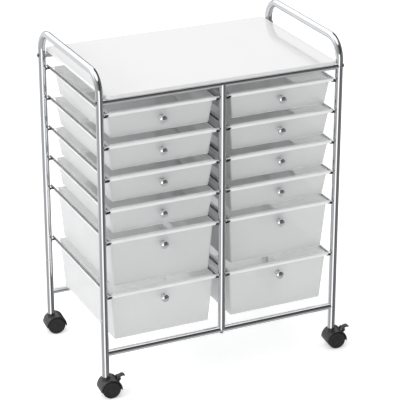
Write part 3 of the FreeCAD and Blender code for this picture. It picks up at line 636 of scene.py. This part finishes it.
def runner_shells(parts, look, leg_x, sign, inset, end_y, rim):
    """One rod with rounded ends, and a peg at each leg with a bead of weld."""
    radius = look.runner_radius
    below_rim = 0.0025
    nose = 0.0008
    overlap = 0.0005
    axis_x = leg_x + sign * inset
    axis_z = rim - below_rim - radius
    peg_z = axis_z - radius - look.peg_radius + overlap
    rod = [
        (radius - nose, -end_y),
        (radius, -end_y + nose),
        (radius, 0.0),
        (radius, end_y - nose),
        (radius - nose, end_y),
    ]
    parts.shell(turned_rings(rod, 24, Matrix.Translation((axis_x, 0, axis_z)) @ ACROSS))
    # Sections of a peg's weld, as (distance from the leg, growth of the radius)
    bead = ((0.0, 0.0012), (0.0006, 0.0009), (0.0014, 0.0002), (0.003, 0.0))
    peg_facets = 20
    for y in (-LEG_Y, LEG_Y):
        centre = Vector((axis_x, y, peg_z))
        rings = []
        for reach, grow in bead:
            ring = round_ring(centre, Y_AXIS, Z_AXIS, look.peg_radius + grow, peg_facets)
            for point in ring:
                side = math.sqrt(TUBE_RADIUS ** 2 - (point.y - y) ** 2)
                point.x = leg_x + sign * (side + reach)
            rings.append(ring)
        end = Vector((axis_x + sign * radius, y, peg_z))
        rings.append(round_ring(end, Y_AXIS, Z_AXIS, look.peg_radius, peg_facets))
        parts.shell(rings)


class CART_OT_top_board(bpy.types.Operator):
    """Make the flat top with rounded edges"""

    bl_idname = "cart.top_board"
    bl_label = "Top Board"

    def execute(self, context):
        look = context.scene.cart_looks.board
        laminate = finish_named("white_laminate", white_laminate, look.laminate)
        size = BOARD_HIGH - BOARD_LOW
        middle = Matrix.Translation((BOARD_LOW + BOARD_HIGH) / 2)
        half = size.z / 2
        border = 0.0015
        lower = arc_profile((-look.edge, -half + look.edge), look.edge, -90, 0, 4)
        upper = arc_profile((-look.edge, half - look.edge), look.edge, 0, 90, 4)
        edge = [(-look.edge - border, -half)] + lower + upper + [(-look.edge - border, half)]
        rings = []
        for offset, height in edge:
            rings.append(box_ring(size.x + 2 * offset, size.y + 2 * offset, look.corner + offset, height))
        one_shell(
            rings, "top_board_panel", laminate, "frame", "top_board", turned=middle, sharp=60
        )
        return {"FINISHED"}


class CART_OT_drawers(bpy.types.Operator):
    """Make the tapered drawers with their flange and turned-down lip"""

    bl_idname = "cart.drawers"
    bl_label = "Drawers"

    def execute(self, context):
        look = context.scene.cart_looks.drawers
        plastic = finish_named("frosted_wall", frosted_plastic, look.plastic)
        edges = finish_named("frosted_edge", frosted_edge, look.edges)
        flange = finish_named("clear_flange", clear_flange, look.plastic)
        for column, row in DRAWERS:
            node = f"drawer_{column}_{row}"
            low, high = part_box(node)
            place = Matrix.Translation(((low.x + high.x) / 2, (low.y + high.y) / 2, high.z))
            tub = one_shell(
                drawer_rings(look, *(high - low)), f"{column}_tub_{row}", plastic, f"{column}_drawer_{row}",
                node, turned=place, sharp=60,
            )
            tub.data.materials.append(edges)
            tub.data.materials.append(flange)
            for face in tub.data.polygons:
                face.material_index = plastic_index(look, face, low, high, place.translation.x)
        return {"FINISHED"}


def plastic_index(look, face, low, high, middle_x):
    """Which plastic a face of a drawer has: 0 on the walls, 1 on thick edges, 2 on the clear flanges."""
    flat = 0.95
    at_rim = face.center.z > high.z - look.lip_height
    at_bottom = face.center.z < low.z + look.floor_round
    at_edge = at_rim or at_bottom
    at_side = abs(face.center.x - middle_x) > (high.x - low.x) / 2 - look.flange_width
    at_front = face.center.y < low.y + look.flange_width
    is_flat = abs(face.normal.z) > flat
    is_clear = is_flat or face.center.z > high.z - look.lip_clear
    if at_edge and at_side and is_clear and (is_flat or not at_front):
        return 2
    if at_edge and (at_front or not is_flat):
        return 1
    return 0


def drawer_rings(look, width, depth, height):
    """Rings from the middle of the floor's underside, round the lips and down to the inside of the floor."""
    tub_width = width - 2 * look.flange_width
    tub_depth = depth - look.flange_width - look.rear_flange
    shift = (look.flange_width - look.rear_flange) / 2
    side_end = depth / 2 - look.rim_corner
    front_end = width / 2 - look.channel
    under = -look.flange_thickness
    # Roundings of the moulding, and the width of the flat border inside a floor's rounding
    fillet = 0.0008
    rim_edge = 0.0009
    mouth_edge = 0.0008
    cove = 0.003
    border = 0.002
    least_corner = 0.0004
    rear_land = 0.0003
    # A lip ends over a short length, and beyond it the rim keeps a small share of the lip's drop
    ending = 0.0008
    bare_share = 0.02
    touch = 0.0001
    side_marks = (-side_end, -side_end + ending, side_end - ending, side_end)
    front_marks = (-front_end, -front_end + ending, front_end - ending, front_end)

    def tub(level, inset):
        """The wall at a level below the rim, moved inwards."""
        share = -level / height
        across = tub_width - 2 * look.side_taper * share - 2 * inset
        along = tub_depth - 2 * look.end_taper * share - 2 * inset
        corner = max(look.tub_corner - inset, least_corner)
        ring = box_ring(across, along, corner, level, side_marks, front_marks)
        for point in ring:
            point.y += shift
        return ring

    def rim(offset, level, drop=0.0):
        """The rim's outline moved inwards, less so at the rear; drop is how far the lips hang below it."""
        rear = min(offset, look.rear_flange - fillet - rear_land)
        along = depth - offset - rear
        ring = box_ring(width - 2 * offset, along, look.rim_corner - offset, level, side_marks, front_marks)
        for point in ring:
            on_side = abs(point.x) > width / 2 - offset - touch and abs(point.y) < side_end - ending / 2
            on_front = point.y < -along / 2 + touch and abs(point.x) < front_end - ending / 2
            point.z -= drop if on_side or on_front else drop * bare_share
            point.y += (offset - rear) / 2
        return ring

    rounding = look.floor_round
    rings = [tub(-height, rounding + border)]
    for inset, rise in arc_profile((rounding, rounding), rounding, 270, 180, 5):
        rings.append(tub(-height + rise, inset))
    for share in (0.35, 0.7):
        rings.append(tub(-height + rounding + (height + under - rounding) * share, 0.0))
    for inset, rise in arc_profile((-fillet, -fillet), fillet, 0, 90, 3):
        rings.append(tub(under + rise, inset))

    lip = look.lip_thickness
    reach = look.lip_height - look.flange_thickness
    clear = look.lip_clear - look.flange_thickness
    # The inside of the lip, as (distance from it, drop), with a small rounding where it leaves the flange
    for away, drop in ((0.0004, 0.0001), (0.0, 0.0003), (0.0, clear), (0.0, reach - lip / 2)):
        rings.append(rim(lip + away, under, drop))
    for offset, rise in arc_profile((lip / 2, lip / 2), lip / 2, 0, -180, 6)[1:-1]:
        rings.append(rim(offset, under, reach - rise))
    for drop in (reach - lip / 2, clear):
        rings.append(rim(0.0, under, drop))
    for offset, rise in arc_profile((rim_edge, -rim_edge), rim_edge, 180, 90, 4):
        rings.append(rim(offset, rise))

    mouth = look.wall
    inner = -height + look.floor
    rings.append(tub(0.0, mouth - 2 * mouth_edge))
    for inset, rise in arc_profile((mouth - mouth_edge, -mouth_edge), mouth_edge, 90, 0, 4):
        rings.append(tub(rise, inset))
    for share in (0.35, 0.7):
        rings.append(tub((inner + cove) * share, mouth))
    for inset, rise in arc_profile((mouth + cove, inner + cove), cove, 180, 270, 5):
        rings.append(tub(rise, inset))
    rings.append(tub(inner, mouth + cove + border))
    return rings


class CART_OT_knobs(bpy.types.Operator):
    """Make the chromed knobs and the screws behind them"""

    bl_idname = "cart.knobs"
    bl_label = "Knobs"

    def execute(self, context):
        looks = context.scene.cart_looks
        chrome = finish_named("chrome_plate", chrome_plate, looks.tubes.chrome)
        for column, row in DRAWERS:
            place = knob_place(looks.drawers, f"drawer_{column}_{row}")
            parts = MeshParts()
            parts.shell(turned_rings(knob_profile(), 40, place))
            parts.shell(turned_rings(knob_screw_profile(looks.drawers.wall), 24, place))
            node = f"knob_{column}_{row}"
            body = f"{column}_drawer_{row}"
            parts.finish(f"{column}_knob_{row}", chrome, body, [node], sharp=50)
        return {"FINISHED"}


def knob_place(look, node):
    """A placement on the front wall of a drawer, with local Z out of the wall."""
    low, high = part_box(node)
    height = high.z - low.z
    seat_y = low.y + look.flange_width + look.end_taper * look.knob_drop / height
    lean = math.atan(look.end_taper / height)
    spot = Vector(((low.x + high.x) / 2, seat_y, high.z - look.knob_drop))
    return Matrix.Translation(spot) @ Matrix.Rotation(math.radians(90) + lean, 4, "X")


def knob_profile():
    """A flared foot, a slim neck and a mushroom head with a rounded edge."""
    profile = [(ON_AXIS, 0.0), (0.0064, 0.0), (0.0065, 0.0002), (0.0065, 0.0014)]
    profile += arc_profile((0.0059, 0.0014), 0.0006, 0, 90, 3)
    profile += arc_profile((0.0063, 0.0038), 0.0018, 270, 180, 5)
    profile += arc_profile((0.0063, 0.0092), 0.0018, 180, 90, 5)
    profile += [(0.0085, 0.0116)]
    profile += arc_profile((0.0082, 0.0134), 0.0018, -80, 0, 5)
    profile += arc_profile((0.0082, 0.0150), 0.0018, 0, 70, 5)
    profile += [(0.0075, 0.0174), (0.0055, 0.0182), (0.003, 0.0188), (ON_AXIS, 0.019)]
    return profile


def knob_screw_profile(wall):
    """The screw's pan head against the inside of the wall."""
    return [
        (ON_AXIS, -wall - 0.0022),
        (0.0022, -wall - 0.0022),
        (0.0034, -wall - 0.0018),
        (0.004, -wall - 0.0009),
        (0.004, -wall),
        (ON_AXIS, -wall),
    ]


class CART_OT_fasteners(bpy.types.Operator):
    """Finish the bolts, screws, sockets and pins"""

    bl_idname = "cart.fasteners"
    bl_label = "Fasteners"

    def execute(self, context):
        looks = context.scene.cart_looks
        zinc = finish_named("zinc_plate", zinc_plate, looks.tubes.zinc)
        black = finish_named("black_moulding", black_moulding, looks.casters.moulding)
        for node in ("crossbar_bolts", "post_screws"):
            dress(node, zinc)
        for corner in CORNERS:
            dress(f"caster_pins_{corner}", zinc)
        dress("caster_sockets", black)
        return {"FINISHED"}


class CART_OT_casters(bpy.types.Operator):
    """Make the hoods, wheels and brake levers of the casters"""

    bl_idname = "cart.casters"
    bl_label = "Casters"

    def execute(self, context):
        look = context.scene.cart_looks.casters
        black = finish_named("black_moulding", black_moulding, look.moulding)
        tread = finish_named("wheel_nylon", black_tread, look.tread)
        for corner in CORNERS:
            place = axle_place(look, corner)
            hood = MeshParts()
            hood.shell(fender_rings(look), turned=place)
            hood.shell(boss_rings(look), turned=place)
            hood.shell(plate_rings(web_outline(look), -look.web / 2, look.web / 2), turned=place)
            hub = pin_profile(WEB_HUB, look.web / 2)
            hood.shell(turned_rings(hub, 32, place @ ACROSS))
            if corner.startswith("front"):
                pivot = place @ lever_pivot(look)
                pin = pin_profile(PIN_RADIUS, look.lever_width / 2 + EAR_PLAY + look.ear / 2)
                ear_shells(hood, look, place)
                hood.shell(turned_rings(pin, 16, pivot @ ACROSS))
                lever = MeshParts()
                lever.shell(turned_rings(lever_hub_profile(look), 28, pivot @ ACROSS), capped=False)
                lever.shell(lever_arm_rings(look), turned=pivot)
                node = f"brake_lever_{corner}"
                lever.finish(f"{corner}_lever", black, f"{corner}_brake", [node])
            node = f"caster_hood_{corner}"
            hood.finish(f"{corner}_hood", black, f"{corner}_caster", [node])
            for side in ("a", "b"):
                node = f"wheel_{side}_{corner}"
                low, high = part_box(node)
                across = (place.inverted() @ ((low + high) / 2)).y
                facing = ACROSS if across > 0 else ACROSS.inverted()
                spot = place @ Matrix.Translation((0, across, 0)) @ facing
                one_shell(
                    turned_rings(wheel_profile(look), 56, spot), f"{corner}_roller_{side}", tread,
                    f"{corner}_wheel_{side}", node, capped=False,
                )
        return {"FINISHED"}


def axle_place(look, corner):
    """A placement at the middle of a caster's axle: X to the trailing side, Y along the axle."""
    front_or_rear, left_or_right = corner.split("_")
    x = LEG_X if left_or_right == "right" else -LEG_X
    y = LEG_Y if front_or_rear == "rear" else -LEG_Y
    swivel = Matrix.Translation((x, y, 0)) @ Matrix.Rotation(look.turn, 4, "Z")
    return swivel @ Matrix.Translation((look.trail, 0, look.wheel_radius))


def hood_radii(look):
    """Inner and outer radius of the hood."""
    inner = look.wheel_radius + look.hood_gap
    return inner, inner + look.hood_wall


def fender_rings(look):
    """Sections of the fender with rounded outer edges, from one hem over the top to the other."""
    inner, outer = hood_radii(look)
    half = look.web / 2 + look.wheel_gap + look.wheel_width
    edge = 0.0012
    nick = 0.0003
    section = [(inner, -half + nick), (inner + nick, -half)]
    section += arc_profile((outer - edge, -half + edge), edge, -90, 0, 5)
    section += arc_profile((outer - edge, half - edge), edge, 0, 90, 5)
    section += [(inner + nick, half), (inner, half - nick)]
    steps = 40
    rings = []
    for step in range(steps + 1):
        ring = []
        for radius, across in section:
            below = math.asin(look.hood_drop / radius)
            angle = (math.pi + 2 * below) * step / steps - below
            ring.append(Vector((radius * math.cos(angle), across, radius * math.sin(angle))))
        rings.append(ring)
    return rings


def boss_rings(look):
    """The boss round the stem, from inside the fender's wall to the top."""
    inner, outer = hood_radii(look)
    gap = 0.0005
    edge = 0.0008
    bevel = 0.0003
    facets = 40
    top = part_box("caster_sockets")[0].z - gap - look.wheel_radius
    middle = (inner + outer) / 2
    root = round_ring(Vector((-look.trail, 0, 0)), X_AXIS, Y_AXIS, look.boss_radius, facets)
    for point in root:
        point.z = math.sqrt(middle ** 2 - point.x ** 2)
    rings = [root]
    for inset, drop in ((0.0, edge), (bevel, bevel), (edge, 0.0)):
        centre = Vector((-look.trail, 0, top - drop))
        rings.append(round_ring(centre, X_AXIS, Y_AXIS, look.boss_radius - inset, facets))
    return rings


def web_outline(look):
    """Half a disc between the wheels, a little into the fender's wall."""
    radius = hood_radii(look)[0] + look.hood_wall / 4
    below = math.degrees(math.asin(look.hood_drop / radius))
    return arc_profile((0, 0), radius, -below, 180 + below, 36)


def plate_rings(outline, low, high):
    """The two faces of a plate that stands across the axle."""
    return [[Vector((x, across, z)) for x, z in outline] for across in (low, high)]


def lever_pivot(look):
    """The pivot of a lever, seen from the axle."""
    reach = hood_radii(look)[1] + look.lever_stand
    return Matrix.Translation((reach * math.cos(look.lever_angle), 0, reach * math.sin(look.lever_angle)))


def ear_shells(parts, look, place):
    """Two ears with round ends that hold a lever's pin."""
    inner, outer = hood_radii(look)
    root = (inner + outer) / 2
    reach = outer + look.lever_stand
    outline = [(root, -LEVER_HUB)] + arc_profile((reach, 0), LEVER_HUB, -90, 90, 12) + [(root, LEVER_HUB)]
    turn = Matrix.Rotation(-look.lever_angle, 4, "Y")
    near = look.lever_width / 2 + EAR_PLAY
    for low, high in ((near, near + look.ear), (-near - look.ear, -near)):
        parts.shell(plate_rings(outline, low, high), turned=place @ turn)


def pin_profile(radius, half):
    """A plain cylinder that reaches equally far to both sides."""
    return [(ON_AXIS, -half), (radius, -half), (radius, half), (ON_AXIS, half)]


def lever_hub_profile(look):
    """The hub of a lever, with its bore."""
    half = look.lever_width / 2
    edge = 0.0004
    return [
        (LEVER_BORE, -half),
        (LEVER_HUB - edge, -half),
        (LEVER_HUB, -half + edge),
        (LEVER_HUB, half - edge),
        (LEVER_HUB - edge, half),
        (LEVER_BORE, half),
    ]


def lever_arm_rings(look):
    """Sections of a lever's arm along its bend, from inside the hub to a rounded tip."""
    tip = Vector((math.cos(look.lever_rise), 0, math.sin(look.lever_rise))) * look.lever_length
    sag = math.sqrt(look.lever_sweep ** 2 - (look.lever_length / 2) ** 2)
    centre = tip / 2 + Vector((math.sin(look.lever_rise), 0, -math.cos(look.lever_rise))) * sag
    start = math.atan2(-centre.z, -centre.x)
    stop = math.atan2(tip.z - centre.z, tip.x - centre.x)
    thin = look.lever_thickness / 2
    edge = 0.0007
    root = 0.0027
    tip_round = 0.9
    steps = 12
    begin = start - root / look.lever_sweep
    shoulder = stop + tip_round * thin / look.lever_sweep
    stations = [(begin + (shoulder - begin) * step / steps, 1.0) for step in range(steps + 1)]
    # The rounded tip, as (distance beyond the shoulder in half thicknesses, share of the thickness)
    for reach, share in ((0.5, 0.87), (0.85, 0.53)):
        stations.append((shoulder - reach * thin / look.lever_sweep, share))
    rings = []
    for angle, share in stations:
        out = Vector((math.cos(angle), 0, math.sin(angle)))
        width = look.lever_width - (1 - share) * thin
        section = box_ring(width, look.lever_thickness * share, edge * share, 0.0)
        middle = centre + out * look.lever_sweep
        rings.append([middle + Y_AXIS * point.x + out * point.y for point in section])
    return rings


def wheel_profile(look):
    """A rounded tread, a dished outer face with a low hub cap, and a blind bore for the axle."""
    half = look.wheel_width / 2
    radius = look.wheel_radius
    bore = 0.0032
    bore_end = half - 0.0035
    inner_edge = 0.002
    outer_edge = 0.004
    dish = half - 0.001
    profile = [(bore, -half)]
    profile += arc_profile((radius - inner_edge, -half + inner_edge), inner_edge, -90, 0, 4)
    profile += arc_profile((radius - outer_edge, half - outer_edge), outer_edge, 0, 90, 7)
    # The step from the rim into the dish, then the hub cap
    profile += [(radius - 0.0058, half), (radius - 0.0062, half - 0.0003), (radius - 0.0066, dish)]
    profile += [(0.0068, dish), (0.0065, half - 0.0005), (0.006, half - 0.0003), (ON_AXIS, half - 0.0002)]
    profile += [(ON_AXIS, bore_end), (bore, bore_end)]
    return profile


class CART_OT_stage(bpy.types.Operator):
    """Set the floor, the light and the camera"""

    bl_idname = "cart.stage"
    bl_label = "Stage"

    def execute(self, context):
        look = context.scene.cart_looks.stage
        floor_mesh = bpy.data.meshes.new("floor")
        reach = 12.0
        corners = [(-reach, -reach, 0), (reach, -reach, 0), (reach, reach, 0), (-reach, reach, 0)]
        floor_mesh.from_pydata(corners, [], [(0, 1, 2, 3)])
        floor = bpy.data.objects.new("floor", floor_mesh)
        context.scene.collection.objects.link(floor)
        floor_mesh.materials.append(floor_paint(list(look.floor)))
        floor.visible_glossy = False
        studio_world(context.scene, CARD_HEADING)
        studio_lights(context.scene)
        camera = bpy.data.cameras.new("camera")
        camera.lens = look.lens
        camera.sensor_width = 36
        camera.clip_end = 100
        holder = bpy.data.objects.new("camera", camera)
        holder.location = look.camera_place
        holder.rotation_euler = (math.radians(90) - look.camera_fall, 0, look.camera_turn)
        context.scene.collection.objects.link(holder)
        context.scene.camera = holder
        context.scene.view_settings.view_transform = "Standard"
        return {"FINISHED"}


def floor_paint(colour):
    """A matt white sweep with the faintest mottling, lit a little from within like a light table."""
    values = {
        "Roughness": 0.9,
        "Specular IOR Level": 0.0,
        "Emission Color": (1, 1, 1, 1),
        "Emission Strength": 0.42,
    }
    material, tree, shader = new_material("floor_paint", values)
    mottled = mottle(tree, (-400, 200), noise(tree, (-600, 200), 0.8), colour, 0.995)
    tree.links.new(mottled, shader.inputs["Base Color"])
    return material


def level_ramp(tree, place, source, stops):
    """Grey levels at rising positions of a number from 0 to 1."""
    item = add_node(tree, "ShaderNodeValToRGB", place, [("Fac", source)])
    ramp = item.color_ramp
    while len(ramp.elements) < len(stops):
        ramp.elements.new(0.5)
    for element, (position, level) in zip(ramp.elements, stops):
        element.position = position
        element.color = (level, level, level, 1)
    return item.outputs["Color"]


def blend(tree, place, share, first, second):
    """Mix two colours by the share of the second."""
    links = [("Factor", share), ("A", first), ("B", second)]
    return add_node(tree, "ShaderNodeMix", place, links, data_type="RGBA").outputs["Result"]


def background(tree, place, colour, strength=1.0):
    """Light of one colour from all round."""
    links = [("Color", colour)]
    return add_node(tree, "ShaderNodeBackground", place, links, Strength=strength).outputs["Background"]


def choose(tree, place, share, first, second):
    """Mix two shaders by the share of the second."""
    links = [("Fac", share), (1, first), (2, second)]
    return add_node(tree, "ShaderNodeMixShader", place, links).outputs["Shader"]


def studio_world(scene, heading):
    """A white room to look at, soft cards that light what is matt and grey cards that the gloss mirrors."""
    world = bpy.data.worlds.new("studio")
    scene.world = world
    world.use_nodes = True
    tree = world.node_tree
    tree.nodes.clear()
    coordinates = add_node(tree, "ShaderNodeTexCoord", (-1300, 0))
    links = [("Vector", coordinates.outputs["Generated"])]
    turned = add_node(
        tree, "ShaderNodeVectorRotate", (-1100, 0), links, rotation_type="Z_AXIS", Angle=heading
    )
    split = add_node(tree, "ShaderNodeSeparateXYZ", (-900, 0), [("Vector", turned.outputs["Vector"])])
    links = [(0, split.outputs["Y"]), (1, split.outputs["X"])]
    bearing = add_node(tree, "ShaderNodeMath", (-700, 150), links, operation="ARCTAN2")
    around = map_range(tree, (-500, 150), bearing.outputs["Value"], (-math.pi, math.pi))
    height = map_range(tree, (-500, -150), split.outputs["Z"], (-1.0, 1.0))

    low_cards = level_ramp(tree, (-250, 450), around, LOW_CARDS)
    high_cards = level_ramp(tree, (-250, 200), around, HIGH_CARDS)
    ends = level_ramp(tree, (-250, -50), height, FLOOR_AND_CEILING)
    walls = blend(tree, (50, 300), level_ramp(tree, (-250, -300), height, HIGH_SHARE), low_cards, high_cards)
    room = blend(tree, (200, 100), level_ramp(tree, (-250, -550), height, END_SHARE), walls, ends)

    mirrored = background(tree, (350, 200), room)
    soft = background(tree, (350, 0), level_ramp(tree, (-250, 700), around, SOFT_CARDS), strength=0.92)
    seen = add_node(tree, "ShaderNodeBackground", (350, -200), Color=(1, 1, 1, 1), Strength=1.0)
    path = add_node(tree, "ShaderNodeLightPath", (350, 500))
    by_gloss = choose(tree, (600, 100), path.outputs["Is Glossy Ray"], soft, mirrored)
    by_sight = choose(tree, (800, 0), path.outputs["Is Camera Ray"], by_gloss, seen.outputs["Background"])
    add_node(tree, "ShaderNodeOutputWorld", (1000, 0), [("Surface", by_sight)])


def studio_lights(scene):
    """Three large soft lights: left, right and above."""
    target = Vector((0, 0, 0.45))
    lamps = [
        ("key_light", (-3.4, -0.2, 2.0), 2.0, 26.0),
        ("fill_light", (2.8, -1.6, 1.8), 2.0, 2.0),
        ("top_light", (0.0, 0.3, 3.4), 2.5, 27.0),
    ]
    for name, spot, width, power in lamps:
        lamp = bpy.data.lights.new(name, "AREA")
        lamp.shape = "SQUARE"
        lamp.size = width
        lamp.energy = power
        holder = bpy.data.objects.new(name, lamp)
        holder.location = spot
        holder.visible_glossy = False
        holder.rotation_euler = (target - holder.location).to_track_quat("-Z", "Y").to_euler()
        scene.collection.objects.link(holder)


class CART_PT_looks(bpy.types.Panel):
    """Lists the cart's pieces in the sidebar"""

    bl_idname = "CART_PT_looks"
    bl_label = "Rolling Drawer Cart"
    bl_space_type = "VIEW_3D"
    bl_region_type = "UI"
    bl_category = "Cart"

    def draw(self, context):
        looks = context.scene.cart_looks
        for title, group, operators in SECTIONS:
            box = self.layout.box()
            box.label(text=title)
            settings = getattr(looks, group)
            for prop in settings.bl_rna.properties:
                if not prop.is_readonly and prop.identifier != "name":
                    box.prop(settings, prop.identifier)
            for operator in operators:
                box.operator(operator.bl_idname)


SECTIONS = (
    ("Frame", "tubes", (CART_OT_tube_frame, CART_OT_runners, CART_OT_fasteners)),
    ("Top", "board", (CART_OT_top_board,)),
    ("Drawers", "drawers", (CART_OT_drawers, CART_OT_knobs)),
    ("Casters", "casters", (CART_OT_casters,)),
    ("Stage", "stage", (CART_OT_stage,)),
)

CLASSES = (
    FrameLook,
    BoardLook,
    DrawerLook,
    CasterLook,
    StageLook,
    CartLooks,
    CART_OT_tube_frame,
    CART_OT_runners,
    CART_OT_top_board,
    CART_OT_drawers,
    CART_OT_knobs,
    CART_OT_fasteners,
    CART_OT_casters,
    CART_OT_stage,
    CART_PT_looks,
)


def register():
    for item in CLASSES:
        bpy.utils.register_class(item)
    bpy.types.Scene.cart_looks = PointerProperty(type=CartLooks)


def unregister():
    del bpy.types.Scene.cart_looks
    for item in reversed(CLASSES):
        bpy.utils.unregister_class(item)


def main():
    register()
    bpy.ops.cart.tube_frame()
    bpy.ops.cart.runners()
    bpy.ops.cart.top_board()
    bpy.ops.cart.drawers()
    bpy.ops.cart.knobs()
    bpy.ops.cart.fasteners()
    bpy.ops.cart.casters()
    bpy.ops.cart.stage()


if __name__ == "__main__":
    main()
